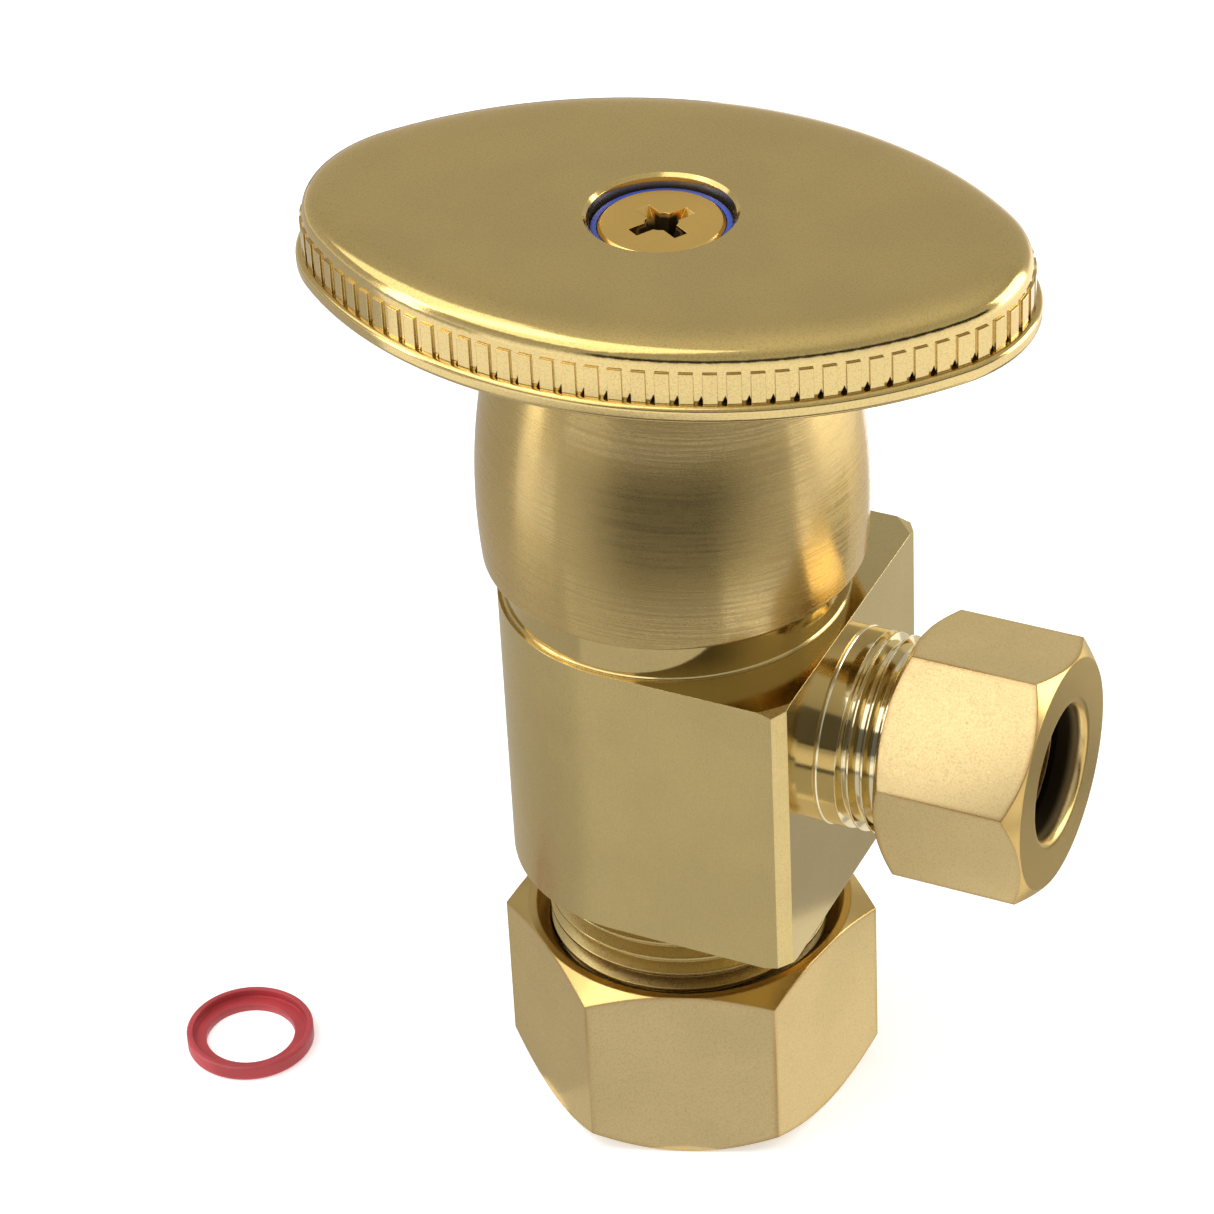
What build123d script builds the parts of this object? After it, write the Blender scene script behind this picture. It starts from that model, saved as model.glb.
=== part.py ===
from build123d import *

import math
import os

# Angle stop valve, multi-turn compression pattern, in millimetres.
# The origin is the centre of the inlet nut's lower face, on the valve's axis.
# +Z runs up the stem towards the handle, and +X is the outlet's direction.

# --- driving dimensions -------------------------------------------------------
INCH = 25.4

BODY_WIDTH = 1.0 * INCH          # bar stock across its two flats
BODY_BOTTOM = 21.1               # block's lower face
BODY_TOP = 43.5                  # block's upper face
OUTLET_FACE_X = 13.35            # flat face that the outlet grows from
OUTLET_Z = 34.2                  # height of the outlet's axis
BODY_CORNER_X = 0.7              # flat cut off the two outlet-side corners, along X
BODY_CORNER_Y = 1.15             # the same cut, along Y
TURNED_TRIM = 17.2               # radius where lathe work trims the corners

COLLAR_R = 12.3                  # turned collar that the bell shell grips
COLLAR_TOP = 50.8

INLET_PIPE_R = 0.625 * INCH / 2  # 5/8 inch outside diameter supply pipe
INLET_THREAD_R = 0.8125 * INCH / 2
INLET_PITCH = INCH / 18
INLET_END_Z = 9.3                # end of the male inlet thread

OUTLET_TUBE_R = 0.375 * INCH / 2  # 3/8 inch outside diameter riser tube
OUTLET_THREAD_R = 0.5625 * INCH / 2
OUTLET_PITCH = INCH / 24
OUTLET_END_X = 22.6              # end of the male outlet thread
OUTLET_NECK = 1.5                # plain length between the face and the thread

INLET_NUT_AF = 0.9375 * INCH
INLET_NUT_H = 14.8
INLET_NUT_TURN = 20.2            # angle of one corner of the hexagon, degrees
OUTLET_NUT_AF = 16.7
OUTLET_NUT_X = 18.2              # inner end of the outlet nut
OUTLET_NUT_H = 10.8
OUTLET_NUT_TURN = 43.6           # turn of the hexagon about the outlet's axis

THREAD_DEPTH = 0.6               # groove depth as a share of the pitch
THREAD_ROOT = 0.14               # half width of the groove's floor, share of the pitch
THREAD_MOUTH = 0.44              # half width of the groove at the crest
THREAD_CLEAR = 0.08              # radial play of a nut on its thread
PIPE_CLEAR = 0.12                # radial play of a pipe in its socket

SOCKET_STOP = 19.3               # shoulder that the supply pipe stops on
CHAMBER_R = 8.5
CHAMBER_FLOOR = 28.3
SEAT_Z = 29.8
SEAT_R = 4.5
SEAT_LAND = 1.1                  # width of the seat's flat crown
OUTLET_PORT_R = 3.9
OUTLET_PORT_END = 16.0           # where the port widens into the tube socket

STEM_THREAD_R = 4.5
STEM_PITCH = 1.5                 # three turns of the handle lift the disc 4.5 mm
STEM_THREAD_LOW = 41.2
STEM_THREAD_HIGH = 50.8
STEM_R = 3.5
STEM_HOLE_R = 2.0                # tapped hole for the handle screw
BUTTON_R = 3.0                   # swivel button at the stem's lower end
DISC_R = 7.3
DISC_LOW = 31.2
WASHER_R = 6.5
WASHER_HIGH = 33.0

BONNET_THREAD_R = 9.5
BONNET_BOTTOM = 44.0
BONNET_HEX_AF = 20.5
BONNET_HEX_LOW = 51.8
BONNET_HEX_HIGH = 55.8
GASKET_R = 11.9

NECK_R = 7.0                     # bonnet's threaded neck
NECK_PITCH = 1.0
NECK_TOP = 63.8
PACKING_R = 5.2                  # stuffing box
PACKING_LOW = 57.8
PACKING_HIGH = 61.3
GLAND_HIGH = 63.2                # top of the washer on the packing
PACKING_NUT_AF = 17.0
PACKING_NUT_LOW = 59.2
PACKING_NUT_ROOF = 64.1
PACKING_NUT_HIGH = 65.7

BELL_MID_Z = 51.3                # height of the bell's widest point
BELL_R = 13.76
BELL_ARC = 48.0                  # radius of the bell's barrel profile
BELL_BOTTOM = 46.8
BELL_TOP = 67.2
BELL_WALL = 1.2
BELL_OPENING = 7.2
BELL_GRIP_TOP = 51.2             # the bell grips the collar below this height
BELL_CROWN = 1.6                 # height of the rounded crown
BELL_CROWN_W = 2.2               # its width in plan

HANDLE_BOTTOM = 67.8             # lower edge of the rim bead
HANDLE_TOP = 73.3
HANDLE_A = 26.0                  # half length over the rim bead
HANDLE_B = 17.25                 # half width over the rim bead
HANDLE_END_R = 10.5              # radius of the oval's two ends
HANDLE_TURN = 6.0                # turn of the oval about the stem, degrees
BEAD_H = 1.25                    # height of the rim bead
BEAD_PROUD = 0.45                # bead stands this far out past the teeth
TOOTH_TOP = 3.55                 # height of the teeth's upper end
TOOTH_PROUD = 0.18
TOOTH_COUNT = 85
TOOTH_WIDTH = 0.95
PIT_WIDTH = 0.6                  # three-cornered pit at the foot of each gap
PIT_HEIGHT = 0.6
PIT_DEPTH = 0.4
SHOULDER_A = 4.0                 # plan width of the rounded shoulder
RECESS_R = 5.05
RECESS_FLOOR = 71.1
HUB_R = 6.0
HUB_BOTTOM = 66.0
SOCKET_TOP = 69.8
TANG = 5.4                       # square on top of the stem
TANG_CLEAR = 0.06

RING_R = 4.85                    # index ring, outside
RING_HOLE_R = 3.4
RING_SEAT = 0.6                  # thickness of the flange under the screw head
RING_H = 1.25
HEAD_R = 4.35                    # handle screw's head
HEAD_H = 0.85
HANDLE_SCREW_R = 1.98
HANDLE_SCREW_END = 61.6
CROSS_TURNS = (58, 148)          # directions of the driver slots, degrees
CROSS_ARM = 2.35                 # half length of a slot
CROSS_WIDTH = 1.05
CROSS_DEPTH = 2.2
HOT_RING_XY = (-32.0, -12.0)     # the spare ring lies beside the valve


# --- shared shapes ------------------------------------------------------------
def rod(radius, low, high):
    """A cylinder about Z between two heights."""
    return Pos(0, 0, (low + high) / 2) * Cylinder(radius, high - low)


def turned(points):
    """A solid of revolution about Z from (radius, height) corners."""
    outline = Polyline(*[(r, 0, z) for r, z in points], close=True)
    return revolve(make_face(outline), Axis.Z, 360)


def hex_bar(across_flats, low, high, turn):
    """A hexagonal bar about Z with one corner at the given angle."""
    plan = RegularPolygon(across_flats / math.sqrt(3), 6, rotation=turn)
    return Pos(0, 0, low) * extrude(plan, high - low)


def hex_nut_blank(across_flats, low, high, turn, low_slope=30, inset=-0.05):
    """A hexagonal blank whose corners are turned off at both ends.

    The upper cone rises at 30 degrees and the lower one at low_slope, which starts
    at a radius smaller than the flats' by the inset."""
    corner = across_flats / math.sqrt(3) + 1
    face = across_flats / 2
    low_side = (corner - face + inset) * math.tan(math.radians(low_slope))
    high_side = (corner - face - 0.05) * math.tan(math.radians(30))
    trim = turned(
        [
            (0, low),
            (face - inset, low),
            (corner, low + low_side),
            (corner, high - high_side),
            (face + 0.05, high),
            (0, high),
        ]
    )
    return hex_bar(across_flats, low, high, turn) & trim


def groove_coil(radius, pitch, low, high, start_turn):
    """A helical bar of truncated V section that overruns both ends of a thread."""
    depth = THREAD_DEPTH * pitch
    root = THREAD_ROOT * pitch
    crest = THREAD_MOUTH * pitch
    over = 0.3
    spread = over * (crest - root) / depth
    overrun = 1.3 * pitch
    start = low - overrun
    helix = Helix(pitch, high - low + 2 * overrun, radius, center=(0, 0, start))
    section = Polyline(
        (radius + over, 0, start + crest + spread),
        (radius - depth, 0, start + root),
        (radius - depth, 0, start - root),
        (radius + over, 0, start - crest - spread),
        close=True,
    )
    coil = sweep(make_face(section), path=helix, is_frenet=True)
    return Rot(0, 0, start_turn) * coil


def threaded(radius, pitch, low, high):
    """A rod with a helical groove, chamfered at its low end.

    The thread's start angle is free, so the first one that cuts cleanly is kept:
    the cut must leave one solid that has lost the groove's own volume."""
    depth = THREAD_DEPTH * pitch
    section_area = depth * (THREAD_ROOT + THREAD_MOUTH) * pitch
    coil_length = 2 * math.pi * (radius - 0.42 * depth) * (high - low) / pitch
    blank = rod(radius, low, high)
    goal = blank.volume - section_area * coil_length
    bevel = turned(
        [
            (radius + 1, low - 0.01),
            (radius + 1, low + depth + 1),
            (radius - depth, low - 0.01),
        ]
    )
    for start_turn in (180, 37, 73, 110, 145, 220, 255, 290, 325):
        cut = blank - groove_coil(radius, pitch, low, high, start_turn)
        if len(cut.solids()) != 1 or not cut.is_valid:
            continue
        if abs(cut.volume - goal) > 0.01 * goal:
            continue
        ended = cut - bevel
        if len(ended.solids()) == 1 and ended.is_valid:
            return ended
    raise ValueError("no start angle gives a clean thread")


def ring(inner, outer, low, high):
    return turned([(inner, low), (outer, low), (outer, high), (inner, high)])


def to_outlet(shape):
    """Carries a shape built about Z onto the outlet's axis, heights becoming X."""
    return Pos(0, 0, OUTLET_Z) * (Rot(0, 90, 0) * shape)


def save(shape, node):
    export_step(shape, f"parts/{node}.step")


# --- valve body ---------------------------------------------------------------
def body_block():
    """D-shaped bar: half round behind, square towards the outlet."""
    half = BODY_WIDTH / 2
    cut_x = OUTLET_FACE_X - BODY_CORNER_X
    cut_y = half - BODY_CORNER_Y
    front = Polyline(
        (0, -half),
        (cut_x, -half),
        (OUTLET_FACE_X, -cut_y),
        (OUTLET_FACE_X, cut_y),
        (cut_x, half),
        (0, half),
        close=True,
    )
    plan = Circle(half) + make_face(front)
    block = Pos(0, 0, BODY_BOTTOM) * extrude(plan, BODY_TOP - BODY_BOTTOM)
    drop = 0.8
    flare = 2.0
    trim = turned(
        [
            (0, BODY_BOTTOM),
            (TURNED_TRIM, BODY_BOTTOM),
            (TURNED_TRIM + flare, BODY_BOTTOM + drop),
            (TURNED_TRIM + flare, BODY_TOP - drop),
            (TURNED_TRIM, BODY_TOP),
            (0, BODY_TOP),
        ]
    )
    return block & trim


def valve_body():
    relief = 1.2
    foot = 0.1
    collar = rod(COLLAR_R, BODY_TOP - 1, COLLAR_TOP)
    collar = chamfer(collar.edges().group_by(Axis.Z)[-1], 0.4)
    foot_ring = turned(
        [
            (0, BODY_TOP - 1),
            (COLLAR_R + foot, BODY_TOP - 1),
            (COLLAR_R + foot, BODY_TOP + 0.1),
            (COLLAR_R, BODY_TOP + 0.1 + foot),
            (0, BODY_TOP + 0.1 + foot),
        ]
    )
    thread_depth = THREAD_DEPTH * INLET_PITCH
    inlet = threaded(INLET_THREAD_R, INLET_PITCH, INLET_END_Z, BODY_BOTTOM - relief)
    inlet_neck = rod(INLET_THREAD_R - thread_depth, BODY_BOTTOM - relief, BODY_BOTTOM + 1)

    # outlet stub: built upside down so that its chamfered end faces outwards
    outlet_length = OUTLET_END_X - OUTLET_FACE_X - OUTLET_NECK
    stub = threaded(OUTLET_THREAD_R, OUTLET_PITCH, 0, outlet_length)
    stub = Pos(OUTLET_END_X, 0, OUTLET_Z) * (Rot(0, -90, 0) * stub)
    neck = to_outlet(rod(OUTLET_THREAD_R, OUTLET_FACE_X - 1, OUTLET_FACE_X + OUTLET_NECK))
    step = 0.08
    neck_foot = to_outlet(
        turned(
            [
                (0, OUTLET_FACE_X - 1),
                (OUTLET_THREAD_R + step, OUTLET_FACE_X - 1),
                (OUTLET_THREAD_R + step, OUTLET_FACE_X + step),
                (OUTLET_THREAD_R, OUTLET_FACE_X + 2 * step),
                (0, OUTLET_FACE_X + 2 * step),
            ]
        )
    )
    body = body_block() + collar + foot_ring + inlet_neck + inlet + neck_foot + neck + stub

    pipe_socket = INLET_PIPE_R + PIPE_CLEAR
    inlet_bore = turned(
        [
            (0, INLET_END_Z - 1),
            (pipe_socket + 1.0, INLET_END_Z - 1),
            (pipe_socket + 1.0, INLET_END_Z),
            (pipe_socket, INLET_END_Z + 2.0),
            (pipe_socket, SOCKET_STOP),
            (SEAT_R, SOCKET_STOP),
            (SEAT_R, SEAT_Z + 0.01),
            (0, SEAT_Z + 0.01),
        ]
    )
    chamber = turned(
        [
            (SEAT_R + SEAT_LAND + 0.6, CHAMBER_FLOOR),
            (CHAMBER_R, CHAMBER_FLOOR),
            (CHAMBER_R, BONNET_BOTTOM - 0.2),
            (BONNET_THREAD_R, BONNET_BOTTOM - 0.2),
            (BONNET_THREAD_R, COLLAR_TOP + 1),
            (0, COLLAR_TOP + 1),
            (0, SEAT_Z),
            (SEAT_R + SEAT_LAND, SEAT_Z),
        ]
    )
    tube_socket = OUTLET_TUBE_R + PIPE_CLEAR
    taper = 2.4
    outlet_bore = to_outlet(
        turned(
            [
                (0, 0),
                (OUTLET_PORT_R, 0),
                (OUTLET_PORT_R, OUTLET_PORT_END),
                (tube_socket, OUTLET_PORT_END),
                (tube_socket, OUTLET_END_X - taper),
                (tube_socket + 1.0, OUTLET_END_X),
                (tube_socket + 1.0, OUTLET_END_X + 1),
                (0, OUTLET_END_X + 1),
            ]
        )
    )
    return body - inlet_bore - chamber - outlet_bore


# --- compression joints -------------------------------------------------------
def nut_bore(pipe_r, thread_r, high, wall, mouth_r):
    """Pipe hole, ferrule cone, thread bore and flared mouth of a nut on Z = 0."""
    hole = pipe_r + PIPE_CLEAR
    bore = thread_r + THREAD_CLEAR
    cone_r = pipe_r + 1.15
    mouth = 1.0
    return turned(
        [
            (0, -1),
            (hole, -1),
            (hole, wall),
            (cone_r, wall + 1.0),
            (bore, wall + 1.0),
            (bore, high - mouth),
            (mouth_r, high),
            (mouth_r, high + 1),
            (0, high + 1),
        ]
    )


def inlet_nut():
    blank = hex_nut_blank(INLET_NUT_AF, 0, INLET_NUT_H, INLET_NUT_TURN, 40, 0.12)
    return blank - nut_bore(INLET_PIPE_R, INLET_THREAD_R, INLET_NUT_H, 3.8, 11.4)


def outlet_nut():
    # built with its pipe end down, then laid along the outlet with that end outwards
    blank = hex_nut_blank(OUTLET_NUT_AF, 0, OUTLET_NUT_H, OUTLET_NUT_TURN, 36, 0.05)
    nut = blank - nut_bore(OUTLET_TUBE_R, OUTLET_THREAD_R, OUTLET_NUT_H, 2.2, 7.9)
    mouth = nut.edges().filter_by(GeomType.CIRCLE).group_by(Axis.Z)[0]
    nut = fillet(mouth.sort_by(SortBy.RADIUS)[0], 0.6)
    return Pos(OUTLET_NUT_X + OUTLET_NUT_H, 0, OUTLET_Z) * (Rot(0, -90, 0) * nut)


def ferrule(pipe_r, length, swell):
    """A barrel-shaped brass sleeve standing on Z = 0."""
    bore = pipe_r + PIPE_CLEAR
    thin = bore + 0.35
    thick = bore + swell
    return turned(
        [
            (bore, 0),
            (thin, 0),
            (thick, length * 0.3),
            (thick, length * 0.7),
            (thin, length),
            (bore, length),
        ]
    )


# --- headwork -----------------------------------------------------------------
def bonnet():
    guide_low = 55.6
    guide_r = STEM_R + 0.06
    neck_low = BONNET_HEX_HIGH + 1.0
    bore = turned(
        [
            (0, BONNET_BOTTOM - 1),
            (STEM_THREAD_R + THREAD_CLEAR, BONNET_BOTTOM - 1),
            (STEM_THREAD_R + THREAD_CLEAR, guide_low),
            (guide_r, guide_low),
            (guide_r, PACKING_LOW),
            (PACKING_R, PACKING_LOW),
            (PACKING_R, NECK_TOP + 1),
            (0, NECK_TOP + 1),
        ]
    )
    screw_in = rod(BONNET_THREAD_R - 0.02, BONNET_BOTTOM, BONNET_HEX_LOW)
    hexagon = hex_nut_blank(BONNET_HEX_AF, BONNET_HEX_LOW, BONNET_HEX_HIGH, 0)
    neck_root = rod(NECK_R - 0.7, BONNET_HEX_HIGH, neck_low)
    lower = screw_in + hexagon + neck_root - bore
    neck = Rot(180, 0, 0) * threaded(NECK_R, NECK_PITCH, -NECK_TOP, -neck_low)
    return lower + (neck - bore)


def packing_nut():
    """Cap that screws onto the bonnet's neck and presses the gland washer down."""
    turn = 15
    nose_r = PACKING_R - 0.1
    stem_hole = STEM_R + 0.09
    blank = hex_nut_blank(PACKING_NUT_AF, PACKING_NUT_LOW, PACKING_NUT_HIGH, turn)
    bore = rod(NECK_R + THREAD_CLEAR, PACKING_NUT_LOW - 1, PACKING_NUT_ROOF)
    nose = rod(nose_r, GLAND_HIGH, PACKING_NUT_ROOF + 0.5)
    return blank - bore + nose - rod(stem_hole, PACKING_NUT_LOW - 1, PACKING_NUT_HIGH + 1)


def bell_radius(z):
    """Outer radius of the bell's barrel profile at a height."""
    rise = z - BELL_MID_Z
    return BELL_R - BELL_ARC + math.sqrt(BELL_ARC**2 - rise**2)


def bonnet_shell():
    """Decorative bell that slides over the collar and hides the headwork."""
    low_r = bell_radius(BELL_BOTTOM)
    high_z = BELL_TOP - BELL_CROWN
    high_r = bell_radius(high_z)
    side = ThreePointArc((low_r, 0, BELL_BOTTOM), (BELL_R, 0, BELL_MID_Z), (high_r, 0, high_z))
    under_r = high_r - BELL_CROWN_W
    crown_end = (under_r, 0, BELL_TOP)
    crown = TangentArc((high_r, 0, high_z), crown_end, tangent=side % 1)
    top = Line(crown @ 1, (BELL_OPENING, 0, BELL_TOP))
    drop = Line(top @ 1, (BELL_OPENING, 0, BELL_TOP - BELL_WALL))
    grip_r = COLLAR_R + 0.03
    inner_end = high_z - 0.5
    inner_waist = 58.3
    under = Line(drop @ 1, (under_r, 0, BELL_TOP - BELL_WALL))
    inner_low = (bell_radius(BELL_GRIP_TOP) - BELL_WALL, 0, BELL_GRIP_TOP)
    inner_mid = (bell_radius(inner_waist) - BELL_WALL, 0, inner_waist)
    inner_high = (bell_radius(inner_end) - BELL_WALL, 0, inner_end)
    slope = Line(under @ 1, inner_high)
    inside = ThreePointArc(inner_high, inner_mid, inner_low)
    step = Line(inside @ 1, (grip_r, 0, BELL_GRIP_TOP))
    grip = Line(step @ 1, (grip_r, 0, BELL_BOTTOM))
    foot = Line(grip @ 1, side @ 0)
    outline = make_face([side, crown, top, drop, under, slope, inside, step, grip, foot])
    shell = revolve(outline, Axis.Z, 360)
    foot_edges = shell.edges().filter_by(GeomType.CIRCLE).group_by(Axis.Z)[0]
    return fillet(foot_edges.sort_by(SortBy.RADIUS)[-1], 0.35)


# --- moving spindle -----------------------------------------------------------
def stem():
    """Threaded spindle with a swivel button below and a square tang on top."""
    tang_low = 64.3
    tang_high = 69.5
    button = rod(BUTTON_R, 36.2, 37.6)
    neck = rod(2.0, 37.3, 39.4)
    shoulder = rod(3.9, 39.3, STEM_THREAD_LOW + 0.1)
    screw = threaded(STEM_THREAD_R, STEM_PITCH, STEM_THREAD_LOW, STEM_THREAD_HIGH)
    shank = rod(STEM_R, STEM_THREAD_HIGH - 0.5, tang_low + 0.5)
    square = Rectangle(TANG, TANG, rotation=HANDLE_TURN)
    tang = Pos(0, 0, tang_low) * extrude(square, tang_high - tang_low)
    tang = tang & rod(STEM_R, tang_low - 0.5, tang_high + 1)
    hole = rod(STEM_HOLE_R, HANDLE_SCREW_END - 0.8, tang_high + 1)
    return button + neck + shoulder + screw + shank + tang - hole


def disc_holder():
    """Cup for the seat washer, with a crimped cage round the stem's button."""
    cup = turned(
        [
            (0, DISC_LOW),
            (DISC_R, DISC_LOW),
            (DISC_R, 34.4),
            (6.4, 35.3),
            (4.6, 35.3),
            (4.6, 38.2),
            (4.0, 38.8),
            (0, 38.8),
        ]
    )
    cage = turned([(0, 36.0), (3.1, 36.0), (3.1, 37.8), (2.08, 37.8), (2.08, 39.8), (0, 39.8)])
    pocket = rod(WASHER_R + 0.05, DISC_LOW - 0.4, WASHER_HIGH)
    return cup - cage - pocket - rod(1.5, 31.8, 36.1)


def washer_screw():
    """Cheese-head screw, slotted across, that holds the seat washer from below."""
    head = rod(2.8, 28.3, 29.8)
    head = fillet(head.edges().group_by(Axis.Z)[0], 0.5)
    slot = Pos(0, 0, 28.3) * Box(6.5, 0.8, 1.4)
    return head + rod(1.48, 29.7, 35.7) - slot


def oval_arcs(inset):
    """Radii and joining point of the handle's plan: two end arcs and two side arcs."""
    half_width = HANDLE_B - inset
    end_r = HANDLE_END_R - inset
    reach = HANDLE_A - HANDLE_END_R
    side_r = (reach**2 + half_width**2 - end_r**2) / (2 * (half_width - end_r))
    meet = math.atan2(side_r - half_width, reach)
    return reach, end_r, half_width, side_r, meet


def oval(inset):
    """Plan of the handle: two small end arcs joined by two long side arcs."""
    reach, end_r, b, side_r, meet = oval_arcs(inset)
    a = reach + end_r
    x = reach + end_r * math.cos(meet)
    y = end_r * math.sin(meet)
    right = ThreePointArc((x, -y), (a, 0), (x, y))
    back = ThreePointArc((x, y), (0, b), (-x, y))
    left = ThreePointArc((-x, y), (-a, 0), (-x, -y))
    front = ThreePointArc((-x, -y), (0, -b), (x, -y))
    return make_face([right, back, left, front])


def rim_section(inner, outer):
    """Section of the handle's edge between two distances from an arc's centre."""
    wall = outer - BEAD_PROUD - TOOTH_PROUD
    low = HANDLE_BOTTOM
    ledge = low + BEAD_H
    round_r = 0.38
    nook = round_r * (1 - math.sqrt(0.5))
    corner = round_r - nook
    shoulder = low + TOOTH_TOP + 0.1
    foot = Line((inner, 0, low), (outer - round_r, 0, low))
    lower = ThreePointArc(
        foot @ 1,
        (outer - nook, 0, low + nook),
        (outer, 0, low + round_r),
    )
    side = Line(lower @ 1, (outer, 0, ledge - round_r))
    upper = ThreePointArc(
        side @ 1,
        (outer - round_r + corner, 0, ledge - round_r + corner),
        (outer - round_r, 0, ledge),
    )
    shelf = Line(upper @ 1, (wall, 0, ledge))
    band = Line(shelf @ 1, (wall, 0, shoulder))
    crown = Bezier(
        band @ 1,
        (wall, 0, shoulder + 0.82 * (HANDLE_TOP - shoulder)),
        (wall - 0.20 * SHOULDER_A, 0, HANDLE_TOP),
        (wall - SHOULDER_A, 0, HANDLE_TOP),
    )
    top = Line(crown @ 1, (inner, 0, HANDLE_TOP))
    back = Line(top @ 1, foot @ 0)
    return make_face([foot, lower, side, upper, shelf, band, crown, top, back])


def handle_blank():
    """The oval plate, its edge turned about the centre of each of the four arcs."""
    reach, end_r, half_width, side_r, meet = oval_arcs(0)
    end_turn = math.degrees(meet)
    side_turn = 90 - end_turn
    end = revolve(rim_section(0, end_r), Axis.Z, 2 * end_turn)
    end = Pos(reach, 0, 0) * (Rot(0, 0, -end_turn) * end)
    side = revolve(rim_section(side_r - half_width - 0.5, side_r), Axis.Z, 2 * side_turn)
    side = Pos(0, half_width - side_r, 0) * (Rot(0, 0, 90 - side_turn) * side)
    half = end + side
    return half + Rot(0, 0, 180) * half


def around_oval(inset, shift):
    """Places round the oval, one for each tooth, with X along it and Y pointing in."""
    outline = oval(inset).face().outer_wire()
    places = []
    for i in range(TOOTH_COUNT):
        share = (i + shift) / TOOTH_COUNT
        spot = outline.position_at(share)
        along = outline.tangent_at(share)
        places.append(Pos(spot.X, spot.Y) * Rot(0, 0, math.degrees(math.atan2(along.Y, along.X))))
    return places


def toothed_plan():
    """The handle's wall line with a row of raised pads all the way round."""
    pads = [place * Rectangle(TOOTH_WIDTH, 2.4) for place in around_oval(BEAD_PROUD, 0)]
    return oval(BEAD_PROUD + TOOTH_PROUD) + (Sketch() + pads & oval(BEAD_PROUD))


def tooth_pits():
    """Small pits behind the rim bead, one at the foot of each gap between teeth."""
    half = PIT_WIDTH / 2
    foot = make_face(Polyline((-half, -0.1), (half, -0.1), (0.3 * half, PIT_DEPTH), close=True))
    tip = Pos(0, 0, PIT_HEIGHT) * make_face(
        Polyline((0, -0.1), (0.1, -0.1), (0.05, 0), close=True)
    )
    pit = Pos(0, 0, HANDLE_BOTTOM + BEAD_H) * loft([foot, tip])
    return [place * pit for place in around_oval(BEAD_PROUD + TOOTH_PROUD, 0.5)]


def handle():
    wall = BEAD_PROUD + TOOTH_PROUD
    teeth_low = HANDLE_BOTTOM + 0.5
    teeth = Pos(0, 0, teeth_low) * extrude(toothed_plan(), TOOTH_TOP - 0.5)
    shape = handle_blank() + teeth - tooth_pits()
    hollow = Pos(0, 0, HANDLE_BOTTOM - 1) * extrude(oval(wall + 1.9), 4.2)
    hub = rod(HUB_R, HUB_BOTTOM, HANDLE_TOP - 1.5)
    shape = shape - hollow + hub
    recess = rod(RECESS_R, RECESS_FLOOR, HANDLE_TOP + 1)
    lip = turned(
        [
            (0, HANDLE_TOP - 0.25),
            (RECESS_R, HANDLE_TOP - 0.25),
            (RECESS_R + 0.25, HANDLE_TOP),
            (RECESS_R + 0.25, HANDLE_TOP + 1),
            (0, HANDLE_TOP + 1),
        ]
    )
    side = TANG + 2 * TANG_CLEAR
    depth = SOCKET_TOP - HUB_BOTTOM + 1
    socket = Pos(0, 0, HUB_BOTTOM - 1) * extrude(Rectangle(side, side), depth)
    socket = socket & rod(STEM_R + TANG_CLEAR, HUB_BOTTOM - 2, SOCKET_TOP)
    shape = shape - recess - lip - socket - rod(2.3, SOCKET_TOP - 1, RECESS_FLOOR + 1)
    return Rot(0, 0, HANDLE_TURN) * shape


def index_ring(base):
    """Coloured ring: a flange that the screw clamps, inside a low wall."""
    inner = HEAD_R + 0.05
    return turned(
        [
            (RING_HOLE_R, base),
            (RING_R - 0.15, base),
            (RING_R, base + 0.15),
            (RING_R, base + RING_H - 0.1),
            (RING_R - 0.1, base + RING_H),
            (inner, base + RING_H),
            (inner, base + RING_SEAT),
            (RING_HOLE_R, base + RING_SEAT),
        ]
    )


def handle_screw():
    low = RECESS_FLOOR + RING_SEAT
    high = low + HEAD_H
    head = turned(
        [
            (0, low),
            (HEAD_R, low),
            (HEAD_R, high - 0.22),
            (HEAD_R - 0.22, high),
            (0, high),
        ]
    )
    screw = head + rod(HANDLE_SCREW_R, HANDLE_SCREW_END, low + 0.1)
    for turn in CROSS_TURNS:
        mouth = Rectangle(2 * CROSS_ARM, CROSS_WIDTH, rotation=turn)
        floor = Pos(0, 0, -CROSS_DEPTH) * Rectangle(1.5, 0.7, rotation=turn)
        screw -= Pos(0, 0, high) * loft([mouth, floor])
        screw -= Pos(0, 0, high) * extrude(mouth, 0.5)
    core = Pos(0, 0, high - 1.0) * Cone(0.7, 1.15, 2.0)
    return screw - core


# --- every piece --------------------------------------------------------------
os.makedirs("parts", exist_ok=True)

pieces = {
    "valve_body": valve_body(),
    "inlet_nut": inlet_nut(),
    "inlet_ferrule": Pos(0, 0, 4.55) * ferrule(INLET_PIPE_R, 4.6, 0.95),
    "outlet_nut": outlet_nut(),
    "outlet_ferrule": to_outlet(Pos(0, 0, 22.2) * ferrule(OUTLET_TUBE_R, 4.2, 0.75)),
    "bonnet": bonnet(),
    "bonnet_gasket": ring(BONNET_THREAD_R + 0.1, GASKET_R, COLLAR_TOP, BONNET_HEX_LOW),
    "stem_packing": ring(STEM_R + 0.03, PACKING_R - 0.02, PACKING_LOW, PACKING_HIGH),
    "packing_washer": ring(STEM_R + 0.08, PACKING_R - 0.05, PACKING_HIGH, GLAND_HIGH),
    "packing_nut": packing_nut(),
    "bonnet_shell": bonnet_shell(),
    "stem": stem(),
    "disc_holder": disc_holder(),
    "seat_washer": ring(1.6, WASHER_R, SEAT_Z, WASHER_HIGH),
    "seat_washer_screw": washer_screw(),
    "handle": handle(),
    "index_ring_cold": index_ring(RECESS_FLOOR),
    "handle_screw": handle_screw(),
    "index_ring_hot": Pos(*HOT_RING_XY, 0) * index_ring(0),
}

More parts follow.
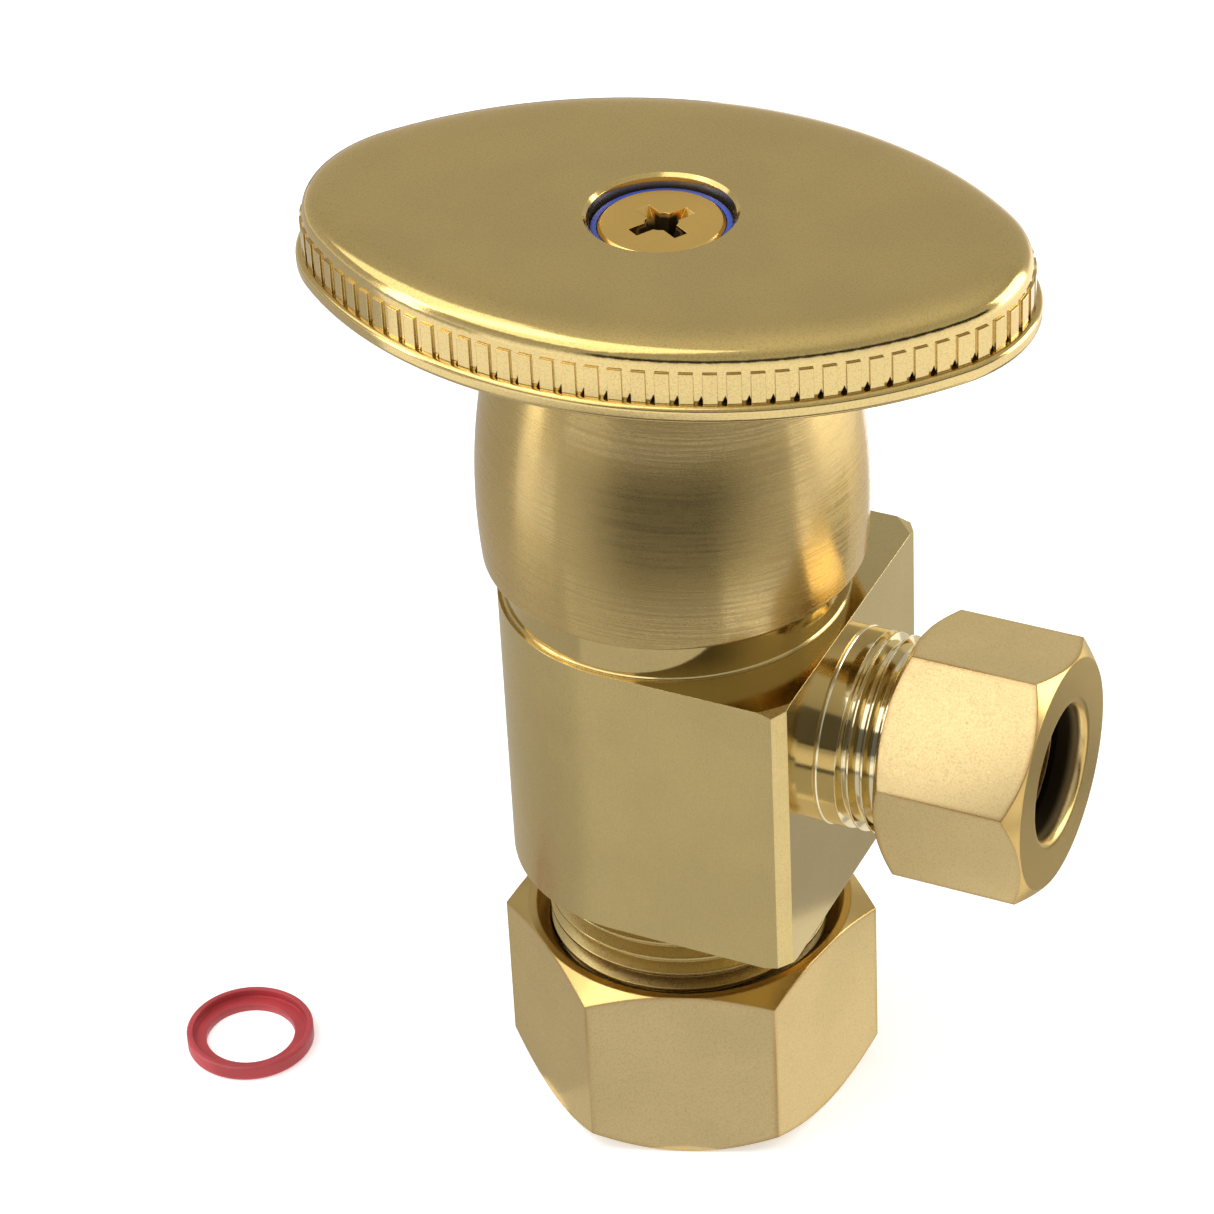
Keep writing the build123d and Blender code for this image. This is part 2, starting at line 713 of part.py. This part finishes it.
for node, shape in pieces.items():
    save(shape, node)
    print(f"{node:20s} {shape.volume:10.1f} mm3")
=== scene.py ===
import math

import bpy
from mathutils import Matrix, Vector


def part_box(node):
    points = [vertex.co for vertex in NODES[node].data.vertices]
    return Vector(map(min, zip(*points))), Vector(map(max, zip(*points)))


# Brass angle stop valve: materials, camera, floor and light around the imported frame.
# Everything is in metres, in the frame's own axes.

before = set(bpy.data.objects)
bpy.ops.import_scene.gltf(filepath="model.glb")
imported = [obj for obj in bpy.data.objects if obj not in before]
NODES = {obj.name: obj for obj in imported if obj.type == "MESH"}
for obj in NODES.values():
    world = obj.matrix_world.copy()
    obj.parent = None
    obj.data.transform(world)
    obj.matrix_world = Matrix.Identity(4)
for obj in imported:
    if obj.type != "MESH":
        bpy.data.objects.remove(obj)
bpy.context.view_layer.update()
MM = 0.001

# --- places ---------------------------------------------------------------------
OUTLET_LOW, OUTLET_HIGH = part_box("outlet_nut")
OUTLET_Z = (OUTLET_LOW.z + OUTLET_HIGH.z) / 2     # height of the outlet's axis
HANDLE_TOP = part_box("handle")[1].z
INLET_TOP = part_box("inlet_nut")[1].z
SCREW_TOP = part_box("handle_screw")[1].z
BODY_TOP = 43.5 * MM                              # upper face of the body's block
OUTLET_FACE = 13.35 * MM                          # flat face that the outlet grows from

# --- camera ---------------------------------------------------------------------
CAMERA_AZIMUTH = math.radians(26.63)
CAMERA_ELEVATION = math.radians(35.21)
CAMERA_ROLL = math.radians(-3.05)
CAMERA_DISTANCE = 0.3294
CAMERA_LENS = 137.9                               # mm, on the sensor below
SENSOR_WIDTH = 36                                 # mm
AIM_HEIGHT = 0.04123
AIM_LEFT = 0.00502                                # aim point lies this far left of the axis

# --- colours, linear ------------------------------------------------------------
BODY_BRASS = (0.545, 0.415, 0.172)
NUT_BRASS = (0.655, 0.495, 0.235)
BELL_BRASS = (0.52, 0.370, 0.135)
HANDLE_BRASS = (0.610, 0.430, 0.125)
SCREW_BRASS = (0.80, 0.520, 0.155)
INNER_BRASS = (0.56, 0.380, 0.140)
PALE_BRASS = (0.74, 0.66, 0.44)                  # neck paler than the rest; on the handle's rim, a painted highlight
WARM_BRASS = (0.505, 0.338, 0.106)                # turned ends and chamfers of the nuts
RING_BLUE = (0.024, 0.066, 0.400)
RING_RED = (0.450, 0.040, 0.047)
FIBRE = (0.170, 0.075, 0.040)
GRAPHITE = (0.030, 0.030, 0.032)
RUBBER = (0.016, 0.016, 0.017)
# painted shade: the near-black painted into recesses, holes and crevices where shade falls
SHADE_PAINT = (0.016, 0.010, 0.005)
FLOOR_WHITE = (0.86, 0.86, 0.855)
TARNISH = (0.90, 0.95, 1.10)                      # what tarnish does to a brass's channels
EDGE_SHADE_TINT = (0.58, 0.40, 0.24)                       # what the dark shade painted along the edges does to them

# --- sizes and strengths in the materials -----------------------------------------
MOTTLE_SCALE = 140                                # noise scales are per metre
PATCH_SCALE = 1500
GRAIN_SCALE = 7000
TURNED_SCALE = 14000                              # lathe lines, along the axis
FACED_SCALE = 9000                                # lathe rings, along the radius
DRAWN_SCALE = 9000                                # draw lines, across the bar
DRAWN_LENGTH_SCALE = 260                          # the same, along the bar
STROKE_SCALE = 4200
STROKE_SLANT = 5.0
FLOW_SCALE = 300
MOULD_SCALE = 6000
WOUND_SCALE = 3500
PIT_SCALE = 4000
SHADING_SAMPLES = 6                               # of the bevel and occlusion nodes
# width of the dark shade painted along the edges
EDGE_SHADE_WIDTH = 0.70 * MM
# roughness, and deep and faint strengths, of that painted shade
SHADE_PAINT_ROUGHNESS = 0.85
DEEP_SHADE = 0.96
FAINT_SHADE = 0.40

# --- floor, flags and lights ------------------------------------------------------
FLOOR_HALF = 1.6
FLOOR_GLOW = 0.42
LOW_LAYER = 0.0003                                # flags lie at three heights on the table,
MIDDLE_LAYER = 0.0004                             # so that two that overlap don't share
HIGH_LAYER = 0.0005                               # a plane
SECTOR_STEPS = 12
BELL_FADE = [math.radians(azimuth) for azimuth in (-122, -80, -52, -5)]
FADED_RADIANCE = 0.75
SOFTBOX_DISTANCE = 0.45
STUDIO_LEVELS = ((0.0, 0.70), (0.30, 0.60), (0.60, 0.56), (1.0, 0.85))


# --- node graph helper ------------------------------------------------------------
class Graph:
    """Builds one material's node tree with short calls."""

    def __init__(self, name):
        self.material = bpy.data.materials.new(name)
        self.material.use_nodes = True
        self.tree = self.material.node_tree
        self.shader = self.tree.nodes["Principled BSDF"]

    def node(self, kind, **settings):
        made = self.tree.nodes.new(kind)
        for key, value in settings.items():
            setattr(made, key, value)
        return made

    def link(self, source, target):
        self.tree.links.new(source, target)

    def feed(self, target, value):
        """Links an output, or sets a plain value, on an input."""
        if isinstance(value, bpy.types.NodeSocket):
            self.link(value, target)
        else:
            target.default_value = value

    def give(self, name, value):
        """Feeds one input of the material's shader."""
        self.feed(self.shader.inputs[name], value)

    def glow(self, radiance):
        """Makes the surface give off white light."""
        self.give("Emission Color", (1, 1, 1, 1))
        self.give("Emission Strength", radiance)

    def math(self, operation, a, b=0.0):
        made = self.node("ShaderNodeMath", operation=operation)
        self.feed(made.inputs[0], a)
        self.feed(made.inputs[1], b)
        return made.outputs[0]

    def add(self, a, b):
        return self.math("ADD", a, b)

    def times(self, first, *factors):
        product = first
        for factor in factors:
            product = self.math("MULTIPLY", product, factor)
        return product

    def place(self):
        """The piece's own coordinates: the frame's at rest, and they ride with the piece."""
        return self.node("ShaderNodeTexCoord").outputs["Object"]

    def facing(self):
        """The surface normal in the piece's own axes, as x, y and z."""
        return self.split(self.node("ShaderNodeTexCoord").outputs["Normal"])

    def split(self, vector):
        made = self.node("ShaderNodeSeparateXYZ")
        self.link(vector, made.inputs[0])
        return made.outputs

    def join(self, x, y, z):
        made = self.node("ShaderNodeCombineXYZ")
        for socket, value in zip(made.inputs, (x, y, z)):
            self.feed(socket, value)
        return made.outputs[0]

    def around(self, axis):
        """Radius, angle and distance along the valve's axis, Z, or the outlet's, X."""
        x, y, z = self.split(self.place())
        if axis == "Z":
            across, up, along = x, y, z
        else:
            across, up, along = self.math("SUBTRACT", z, OUTLET_Z), y, x
        squares = self.add(self.times(across, across), self.times(up, up))
        radius = self.math("SQRT", squares)
        angle = self.math("ARCTAN2", up, across)
        return radius, angle, along

    def noise(self, vector, scale, detail, roughness=0.55):
        made = self.node("ShaderNodeTexNoise")
        self.link(vector, made.inputs["Vector"])
        made.inputs["Scale"].default_value = scale
        made.inputs["Detail"].default_value = detail
        made.inputs["Roughness"].default_value = roughness
        return made.outputs["Fac"]

    def ramp(self, value, low, high, out_low=0.0, out_high=1.0):
        """Goes smoothly from out_low to out_high as the value goes from low to high."""
        made = self.node("ShaderNodeMapRange", interpolation_type="SMOOTHSTEP")
        for socket, given in zip(made.inputs, (value, low, high, out_low, out_high)):
            self.feed(socket, given)
        return made.outputs[0]

    def mix(self, factor, a, b):
        """Mixes two colours."""
        made = self.node("ShaderNodeMix", data_type="RGBA")
        self.feed(made.inputs[0], factor)
        for socket, colour in ((made.inputs[6], a), (made.inputs[7], b)):
            if isinstance(colour, bpy.types.NodeSocket):
                self.link(colour, socket)
            else:
                socket.default_value = (*colour, 1.0)
        return made.outputs[2]

    def blend(self, factor, a, b):
        """Mixes two numbers."""
        made = self.node("ShaderNodeMix", data_type="FLOAT")
        self.feed(made.inputs[0], factor)
        self.feed(made.inputs[2], a)
        self.feed(made.inputs[3], b)
        return made.outputs[0]

    def bump(self, height, depth, normal=None):
        made = self.node("ShaderNodeBump")
        made.inputs["Strength"].default_value = 1.0
        made.inputs["Distance"].default_value = depth
        self.link(height, made.inputs["Height"])
        if normal is not None:
            self.link(normal, made.inputs["Normal"])
        return made.outputs[0]

    def soft_edge(self, radius):
        """Shading normal rounded over sharp edges, and a mask that is 1 on them."""
        bevel = self.node("ShaderNodeBevel", samples=SHADING_SAMPLES)
        bevel.inputs["Radius"].default_value = radius
        true = self.node("ShaderNodeNewGeometry").outputs["Normal"]
        dot = self.node("ShaderNodeVectorMath", operation="DOT_PRODUCT")
        self.link(bevel.outputs[0], dot.inputs[0])
        self.link(true, dot.inputs[1])
        mask = self.ramp(dot.outputs["Value"], 0.995, 0.90)
        return bevel.outputs[0], mask


def shade(colour, factor):
    return tuple(channel * factor for channel in colour)


def tinted(colour, factors):
    return tuple(channel * factor for channel, factor in zip(colour, factors))


# --- brass ------------------------------------------------------------------------
def tool_marks(graph, brushing, axis):
    """Noise drawn out into the lines that a tool leaves."""
    if brushing == "drawn":
        x, y, z = graph.split(graph.place())
        lines = graph.join(
            graph.times(x, DRAWN_SCALE),
            graph.times(y, DRAWN_SCALE),
            graph.times(z, DRAWN_LENGTH_SCALE),
        )
    else:
        radius, angle, along = graph.around(axis)
        if brushing == "round":
            lines = graph.join(graph.times(angle, 2.0), graph.times(along, TURNED_SCALE), 0.0)
        else:
            lines = graph.join(graph.times(angle, 1.2), graph.times(radius, FACED_SCALE), 0.0)
    return graph.noise(lines, 1.0, detail=3, roughness=0.7)


def brush_strokes(graph, axis):
    """Broad strokes of a brush, which slant a little as they go round."""
    _, angle, along = graph.around(axis)
    slant = graph.add(graph.times(along, STROKE_SCALE), graph.times(angle, STROKE_SLANT))
    path = graph.join(graph.times(angle, 1.1), slant, 0.0)
    return graph.noise(path, 1.0, detail=5, roughness=0.65)


def brass(name, colour, roughness, axis="Z", grain=1.0, edge=0.07 * MM, brushing=None,
          brush_depth=0.4e-6, streaks=0.0, anisotropic=0.0, polish=None,
          polish_roughness=0.10, tint=(0.95, 0.80, 0.55), lacquer=0.0, burnt=0.0,
          cast=None, soot=None):
    """Brass with grain, faint mottling, tool marks and bright worn edges.

    axis is the one it was turned about, Z or X, grain the strength of its grain and edge
    the radius of its edges. brushing is None, "round" (lines round the axis), "face"
    (rings on a turned end) or "drawn" (lines along the bar), and streaks is the strength
    of a brush's broad strokes. tint is the colour left at grazing angles, lacquer the
    weight of a clear coat, and burnt the strength of the dark brown shade painted along
    the edges. polish, soot and the first of the pair cast make masks from the graph: 1
    where the metal is polished, where shade is painted near-black into recesses, holes and
    crevices, and where it takes the cast's colour."""
    graph = Graph(name)
    place = graph.place()
    mottle = graph.noise(place, MOTTLE_SCALE, detail=3, roughness=0.5)
    patches = graph.noise(place, PATCH_SCALE, detail=4, roughness=0.75)
    fine = graph.noise(place, GRAIN_SCALE, detail=3, roughness=0.8)

    tone = graph.mix(graph.ramp(mottle, 0.35, 0.65), shade(colour, 0.965), shade(colour, 1.03))
    tarnished = graph.ramp(patches, 0.50, 0.72, 0.0, 0.12 * grain)
    tone = graph.mix(tarnished, tone, tinted(colour, TARNISH))
    speck = graph.ramp(fine, 0.46, 0.66, 0.0, 0.30 * grain)
    tone = graph.mix(speck, tone, shade(colour, 0.62))

    rough = graph.blend(graph.ramp(patches, 0.3, 0.7), roughness * 0.93, roughness * 1.08)
    rough = graph.add(rough, graph.ramp(fine, 0.3, 0.8, -0.03 * grain, 0.05 * grain))

    normal, worn = graph.soft_edge(edge)
    if brushing:
        marks = tool_marks(graph, brushing, axis)
        normal = graph.bump(marks, brush_depth, normal)
        rough = graph.add(rough, graph.ramp(marks, 0.3, 0.7, -0.03, 0.04))
        tone = graph.mix(graph.ramp(marks, 0.55, 0.80, 0.0, 0.25), tone, shade(colour, 0.68))
    if streaks:
        strokes = brush_strokes(graph, axis)
        streaked = graph.ramp(strokes, 0.42, 0.75, 0.0, streaks)
        tone = graph.mix(streaked, tone, shade(colour, 0.55))
        rough = graph.add(rough, graph.ramp(strokes, 0.35, 0.65, -0.05, 0.06))
    normal = graph.bump(fine, 1.0e-6 * grain, normal)

    if polish:
        rough = graph.blend(polish(graph), rough, polish_roughness)
    rough = graph.blend(worn, rough, roughness * 0.55)
    tone = graph.mix(graph.times(worn, 0.4), tone, shade(colour, 1.05))
    # painted shade: a darker brown painted along the edges
    if burnt:
        halo = graph.soft_edge(EDGE_SHADE_WIDTH)[1]
        edge_shaded = graph.times(halo, graph.ramp(mottle, 0.35, 0.60, 0.35 * burnt, burnt))
        tone = graph.mix(edge_shaded, tone, tinted(colour, EDGE_SHADE_TINT))
    if cast:
        mask, cast_colour = cast
        tone = graph.mix(mask(graph), tone, cast_colour)
    # painted shade: near-black painted into recesses, holes and crevices, and made rough
    if soot:
        shaded = soot(graph)
        tone = graph.mix(shaded, tone, SHADE_PAINT)
        rough = graph.blend(shaded, rough, SHADE_PAINT_ROUGHNESS)

    graph.give("Metallic", 1.0)
    graph.give("Specular Tint", (*tint, 1.0))
    graph.give("Coat Weight", lacquer)
    graph.give("Coat Roughness", 0.12)
    graph.give("Base Color", tone)
    graph.give("Roughness", graph.math("MAXIMUM", rough, 0.04))
    graph.give("Normal", normal)
    if anisotropic:
        graph.give("Anisotropic", anisotropic)
        graph.give("Anisotropic Rotation", 0.25)
        tangent = graph.node("ShaderNodeTangent", direction_type="RADIAL", axis=axis)
        graph.give("Tangent", tangent.outputs[0])
    return graph.material


# --- masks on the brass -----------------------------------------------------------
def slope(index, low, high, strength=1.0):
    """Grows as the normal's x, y or z component, without its sign, goes from low to high."""
    def mask(graph):
        component = graph.math("ABSOLUTE", graph.facing()[index])
        return graph.ramp(component, low, high, 0.0, strength)
    return mask


def body_polish(graph):
    """Turned surfaces of the body: its outlet face, its upper face, collar and neck."""
    outward, _, upward = graph.facing()
    x, _, z = graph.split(graph.place())
    ends = graph.math(
        "MAXIMUM",
        graph.ramp(graph.math("ABSOLUTE", outward), 0.97, 0.995),
        graph.ramp(graph.math("ABSOLUTE", upward), 0.97, 0.995),
    )
    neck = graph.ramp(x, OUTLET_FACE, OUTLET_FACE + 0.1 * MM)
    collar = graph.ramp(z, BODY_TOP, BODY_TOP + 0.1 * MM)
    return graph.math("MAXIMUM", ends, graph.math("MAXIMUM", neck, collar))


def neck_pale(graph):
    """The outlet's neck and thread, freshly turned."""
    x = graph.split(graph.place())[0]
    return graph.ramp(x, OUTLET_FACE + 0.02 * MM, OUTLET_FACE + 0.10 * MM, 0.0, 0.85)


def sunk(graph, top, deep, outside, inside, strength):
    """Painted shade in a recess round the valve's axis, growing from top down to deep."""
    radius, _, along = graph.around("Z")
    depth = graph.ramp(along, top, deep)
    within = graph.ramp(radius, outside, inside)
    return graph.times(depth, within, strength)


def cross_soot(graph):
    """Painted shade in the driver recess: everything inside the head that lies below its face.
    """
    top, deep = SCREW_TOP - 0.05 * MM, SCREW_TOP - 0.40 * MM
    return sunk(graph, top, deep, 2.0 * MM, 1.5 * MM, DEEP_SHADE)


def handle_soot(graph):
    """Painted shade in the recess round the index ring, and in the crevices between the teeth,
    where an occlusion node finds them.
    """
    top, deep = HANDLE_TOP - 0.30 * MM, HANDLE_TOP - 1.20 * MM
    recess = sunk(graph, top, deep, 5.4 * MM, 5.1 * MM, FAINT_SHADE)
    hidden = graph.node("ShaderNodeAmbientOcclusion", samples=SHADING_SAMPLES, only_local=True)
    hidden.inputs["Distance"].default_value = 0.45 * MM
    crevice = graph.ramp(hidden.outputs["AO"], 0.42, 0.16, 0.0, 0.85)
    return graph.math("MAXIMUM", recess, crevice)


def dark_bore(graph, axis, limit, end, low, high):
    """Painted shade inside a hole: within a radius, growing from high to low, ended at end."""
    radius, _, along = graph.around(axis)
    depth = graph.ramp(along, high, low)
    ended = graph.ramp(along, end, end + 1.0 * MM)
    within = graph.ramp(radius, limit + 0.15 * MM, limit)
    return graph.times(depth, ended, within, DEEP_SHADE)


# painted shade inside the outlet nut's bore
def outlet_soot(graph):
    low, high = OUTLET_HIGH.x - 1.4 * MM, OUTLET_HIGH.x - 0.4 * MM
    return dark_bore(graph, "X", 7.4 * MM, OUTLET_LOW.x, low, high)


# painted shade inside the inlet nut's bore
def inlet_soot(graph):
    low, high = INLET_TOP - 2.4 * MM, INLET_TOP - 0.8 * MM
    return dark_bore(graph, "Z", 10.6 * MM, 1.0 * MM, low, high)


def port_soot(graph):
    """Painted shade in the tube socket inside the outlet's thread."""
    return dark_bore(graph, "X", 5.9 * MM, 0.0, OUTLET_FACE, OUTLET_HIGH.x)


# --- plastics and seals -----------------------------------------------------------
def moulded(name, colour):
    """Moulded index-ring plastic: fine moulding grain, faint flow marks, soft gloss."""
    graph = Graph(name)
    place = graph.place()
    flow = graph.noise(place, FLOW_SCALE, detail=3)
    grain = graph.noise(place, MOULD_SCALE, detail=2)
    normal, worn = graph.soft_edge(0.20 * MM)
    tone = graph.mix(graph.ramp(flow, 0.3, 0.7), shade(colour, 0.88), shade(colour, 1.10))
    pale = tuple(min(1.0, channel + 0.08) for channel in colour)
    tone = graph.mix(graph.times(worn, 0.20), tone, pale)
    graph.give("Base Color", tone)
    graph.give("Roughness", graph.ramp(grain, 0.2, 0.8, 0.30, 0.46))
    graph.give("Normal", graph.bump(grain, 1.5e-6, normal))
    graph.give("Coat Weight", 0.15)
    graph.give("Coat Roughness", 0.25)
    graph.give("Subsurface Weight", 0.05)
    graph.give("Subsurface Scale", 0.3 * MM)
    return graph.material


def seal(name, colour, stretch, roughness, depth):
    """Fibre, packing or rubber: streaks stretched round the axis, matte and pitted."""
    graph = Graph(name)
    radius, angle, along = graph.around("Z")
    wound = graph.join(
        graph.times(angle, stretch),
        graph.times(along, WOUND_SCALE),
        graph.times(radius, WOUND_SCALE),
    )
    fibres = graph.noise(wound, 1.0, detail=4, roughness=0.7)
    pits = graph.noise(graph.place(), PIT_SCALE, detail=2)
    tone = graph.mix(graph.ramp(fibres, 0.3, 0.7), shade(colour, 0.65), shade(colour, 1.45))
    height = graph.add(fibres, graph.times(pits, 0.6))
    graph.give("Base Color", tone)
    graph.give("Roughness", graph.ramp(pits, 0.2, 0.8, roughness - 0.08, roughness + 0.08))
    graph.give("Normal", graph.bump(height, depth))
    return graph.material


# --- which piece wears what -------------------------------------------------------
def dress(material, *nodes):
    """Gives CAD nodes a material on every slot."""
    for name in nodes:
        mesh = NODES[name].data
        if not mesh.materials:
            mesh.materials.append(material)
        for index in range(len(mesh.materials)):
            mesh.materials[index] = material


def nut_brass(name, axis, **looks):
    """Satin brass; the turned ends, square to the axis, are smoother and warmer."""
    index = "XYZ".index(axis)
    return brass(name, NUT_BRASS, 0.33, axis=axis, grain=1.5, edge=0.16 * MM,
                 polish=slope(index, 0.30, 0.60),
                 cast=(slope(index, 0.30, 0.60, 0.80), WARM_BRASS), **looks)


def dress_all():
    body = brass("body_brass", BODY_BRASS, 0.30, brushing="drawn", polish=body_polish,
                 tint=(1.0, 0.93, 0.78), lacquer=0.2, cast=(neck_pale, PALE_BRASS),
                 soot=port_soot)
    inlet_nut = nut_brass("inlet_nut_brass", "Z", polish_roughness=0.22,
                          tint=(1.0, 0.92, 0.72), burnt=0.85, soot=inlet_soot)
    outlet_nut = nut_brass("outlet_nut_brass", "X", polish_roughness=0.24,
                           tint=(1.0, 0.92, 0.70), burnt=0.95, soot=outlet_soot)
    bell = brass("bell_brass", BELL_BRASS, 0.27, brushing="round", brush_depth=0.5e-6,
                 streaks=0.24, anisotropic=0.80, tint=(1.0, 0.85, 0.60), lacquer=0.5)
    # the handle's upright faces (rim, teeth and lip) are mixed towards pale brass: a painted
    # highlight
    handle = brass("handle_brass", HANDLE_BRASS, 0.18, grain=2.0,
                   polish=slope(2, 0.985, 0.93), polish_roughness=0.14, lacquer=0.9,
                   cast=(slope(2, 0.50, 0.20, 0.16), PALE_BRASS), soot=handle_soot)
    screw = brass("screw_brass", SCREW_BRASS, 0.20, brushing="face", grain=0.7,
                  soot=cross_soot)
    inner = brass("inner_brass", INNER_BRASS, 0.28, brushing="round")
    outlet_inner = brass("outlet_inner_brass", INNER_BRASS, 0.28, axis="X", brushing="round")
    dress(body, "valve_body")
    dress(inlet_nut, "inlet_nut")
    dress(outlet_nut, "outlet_nut")
    dress(bell, "bonnet_shell")
    dress(handle, "handle")
    dress(screw, "handle_screw")
    dress(inner, "inlet_ferrule", "bonnet", "packing_washer", "packing_nut", "stem",
          "disc_holder", "seat_washer_screw")
    dress(outlet_inner, "outlet_ferrule")
    dress(moulded("blue_plastic", RING_BLUE), "index_ring_cold")
    dress(moulded("red_plastic", RING_RED), "index_ring_hot")
    dress(seal("fibre", FIBRE, 3.0, 0.80, 20e-6), "bonnet_gasket")
    dress(seal("packing", GRAPHITE, 8.0, 0.60, 30e-6), "stem_packing")
    dress(seal("seat_rubber", RUBBER, 1.0, 0.72, 8e-6), "seat_washer")


# --- floor, surroundings and light ------------------------------------------------
def surface(name, points, faces):
    """A staged sheet made of the given faces."""
    mesh = bpy.data.meshes.new(name)
    mesh.from_pydata(points, [], faces)
    thing = bpy.data.objects.new(name, mesh)
    bpy.context.scene.collection.objects.link(thing)
    return thing


def floor():
    """White lit table."""
    half = FLOOR_HALF
    corners = [(-half, -half, 0), (half, -half, 0), (half, half, 0), (-half, half, 0)]
    plane = surface("floor", corners, [(0, 1, 2, 3)])
    graph = Graph("floor_white")
    graph.give("Base Color", (*FLOOR_WHITE, 1.0))
    graph.give("Roughness", 0.9)
    graph.give("Specular IOR Level", 0.1)
    graph.glow(FLOOR_GLOW)
    plane.data.materials.append(graph.material)


def flag(name, thing, radiance, fade):
    """Makes a thing a grey card that only reflections see.

    fade is None, or four azimuths in radians: the card is pale outside the outer two,
    and has the given radiance between the inner two."""
    graph = Graph(name)
    level = radiance
    if fade:
        _, angle, _ = graph.around("Z")
        level = graph.math(
            "MAXIMUM",
            graph.ramp(angle, fade[1], fade[0], radiance, FADED_RADIANCE),
            graph.ramp(angle, fade[2], fade[3], radiance, FADED_RADIANCE),
        )
    graph.give("Base Color", (0, 0, 0, 1))
    graph.give("Specular IOR Level", 0.0)
    graph.give("Roughness", 1.0)
    graph.glow(level)
    thing.data.materials.append(graph.material)
    thing.visible_camera = False
    thing.visible_diffuse = False
    thing.visible_transmission = False
    thing.visible_volume_scatter = False
    thing.visible_shadow = False


def sector(start, end, radius, height):
    """Points on an arc about the valve's axis, between two azimuths in degrees."""
    steps = range(SECTOR_STEPS + 1)
    turns = [math.radians(start + (end - start) * i / SECTOR_STEPS) for i in steps]
    return [(radius * math.cos(a), radius * math.sin(a), height) for a in turns]


def fan(name, start, end, near, far, height, radiance, fade=None):
    """A flag lying on the table: a ring's sector between two radii."""
    points = sector(start, end, near, height) + sector(start, end, far, height)[::-1]
    flag(name, surface(name, points, [range(len(points))]), radiance, fade)


def wall(name, start, end, radius, low, high, radiance, fade=None):
    """A flag standing round the valve, between two heights."""
    foot, head = sector(start, end, radius, low), sector(start, end, radius, high)
    count = len(foot)
    faces = [(i, i + 1, count + i + 1, count + i) for i in range(count - 1)]
    flag(name, surface(name, foot + head, faces), radiance, fade)


def flags():
    fan("flag_bell", -122, -5, 0.088, 0.112, MIDDLE_LAYER, 0.15, BELL_FADE)
    wall("flag_bell_near", -122, -5, 0.033, 0.039, 0.0580, 0.15, BELL_FADE)
    fan("flag_front", -128, -40, 0.0122, 0.088, LOW_LAYER, 0.76)
    fan("flag_rim", -160, 20, 0.112, 0.220, HIGH_LAYER, 1.40)
    fan("flag_left", 120, 232, 0.0122, 0.60, LOW_LAYER, 0.60)
    fan("flag_right", -40, 72, 0.0122, 0.030, LOW_LAYER, 1.05)
    fan("flag_outlet", 15, 85, 0.0305, 0.056, LOW_LAYER, 0.56)
    fan("flag_outlet_far", 15, 49, 0.0565, 0.120, LOW_LAYER, 0.36)
    fan("flag_outlet_side", 49.5, 85, 0.0565, 0.120, LOW_LAYER, 0.76)
    wall("flag_horizon", -100, 12, 0.30, 0.054, 0.122, 0.01)
    wall("flag_behind", 75, 110, 0.10, 0.020, 0.068, 0.92)
    wall("flag_behind_left", 111, 150, 0.10, 0.020, 0.068, 0.42)


def surroundings():
    """Grey studio: STUDIO_LEVELS gives its level at sines of the elevation."""
    world = bpy.data.worlds.new("studio")
    bpy.context.scene.world = world
    world.use_nodes = True
    tree = world.node_tree
    coordinates = tree.nodes.new("ShaderNodeTexCoord")
    split = tree.nodes.new("ShaderNodeSeparateXYZ")
    tree.links.new(coordinates.outputs["Generated"], split.inputs[0])
    ramp = tree.nodes.new("ShaderNodeValToRGB")
    tree.links.new(split.outputs["Z"], ramp.inputs[0])
    stops = ramp.color_ramp.elements
    for sine, _ in STUDIO_LEVELS[1:-1]:
        stops.new(sine)
    for stop, (_, level) in zip(stops, STUDIO_LEVELS):
        stop.color = (level, level, level, 1)
    tree.links.new(ramp.outputs[0], tree.nodes["Background"].inputs["Color"])


def softbox(name, azimuth, elevation, width, height, radiance):
    """A rectangular area light that faces the valve's middle."""
    light = bpy.data.lights.new(name, "AREA")
    light.shape = "RECTANGLE"
    light.size = width
    light.size_y = height
    light.energy = radiance * math.pi * width * height
    lamp = bpy.data.objects.new(name, light)
    bpy.context.scene.collection.objects.link(lamp)
    around, up = math.radians(azimuth), math.radians(elevation)
    away = Vector((
        math.cos(around) * math.cos(up),
        math.sin(around) * math.cos(up),
        math.sin(up),
    ))
    lamp.location = Vector((0, 0, AIM_HEIGHT)) + away * SOFTBOX_DISTANCE
    lamp.rotation_euler = away.to_track_quat("Z", "Y").to_euler()


def lights():
    softbox("key_front_left", -121, 54, 0.36, 0.40, 1.50)
    softbox("key_left", -163, 48, 0.30, 0.36, 1.45)
    softbox("side_right", 40, 8, 0.28, 0.40, 4.4)
    softbox("side_left", -150, 8, 0.09, 0.40, 4.2)


# --- camera -----------------------------------------------------------------------
def camera():
    azimuth, elevation = CAMERA_AZIMUTH, CAMERA_ELEVATION
    back = Vector((
        math.sin(azimuth) * math.cos(elevation),
        -math.cos(azimuth) * math.cos(elevation),
        math.sin(elevation),
    ))
    right = Vector((math.cos(azimuth), math.sin(azimuth), 0))
    up = back.cross(right)
    turned_right = math.cos(CAMERA_ROLL) * right + math.sin(CAMERA_ROLL) * up
    turned_up = math.cos(CAMERA_ROLL) * up - math.sin(CAMERA_ROLL) * right
    aim = Vector((0, 0, AIM_HEIGHT)) - AIM_LEFT * right
    data = bpy.data.cameras.new("camera")
    data.lens = CAMERA_LENS
    data.sensor_width = SENSOR_WIDTH
    data.clip_start = 0.01
    view = bpy.data.objects.new("camera", data)
    bpy.context.scene.collection.objects.link(view)
    axes = Matrix((turned_right, turned_up, back)).transposed().to_4x4()
    view.matrix_world = Matrix.Translation(aim + back * CAMERA_DISTANCE) @ axes
    bpy.context.scene.camera = view


camera()
floor()
flags()
surroundings()
lights()
dress_all()
bpy.context.scene.view_settings.view_transform = "Standard"
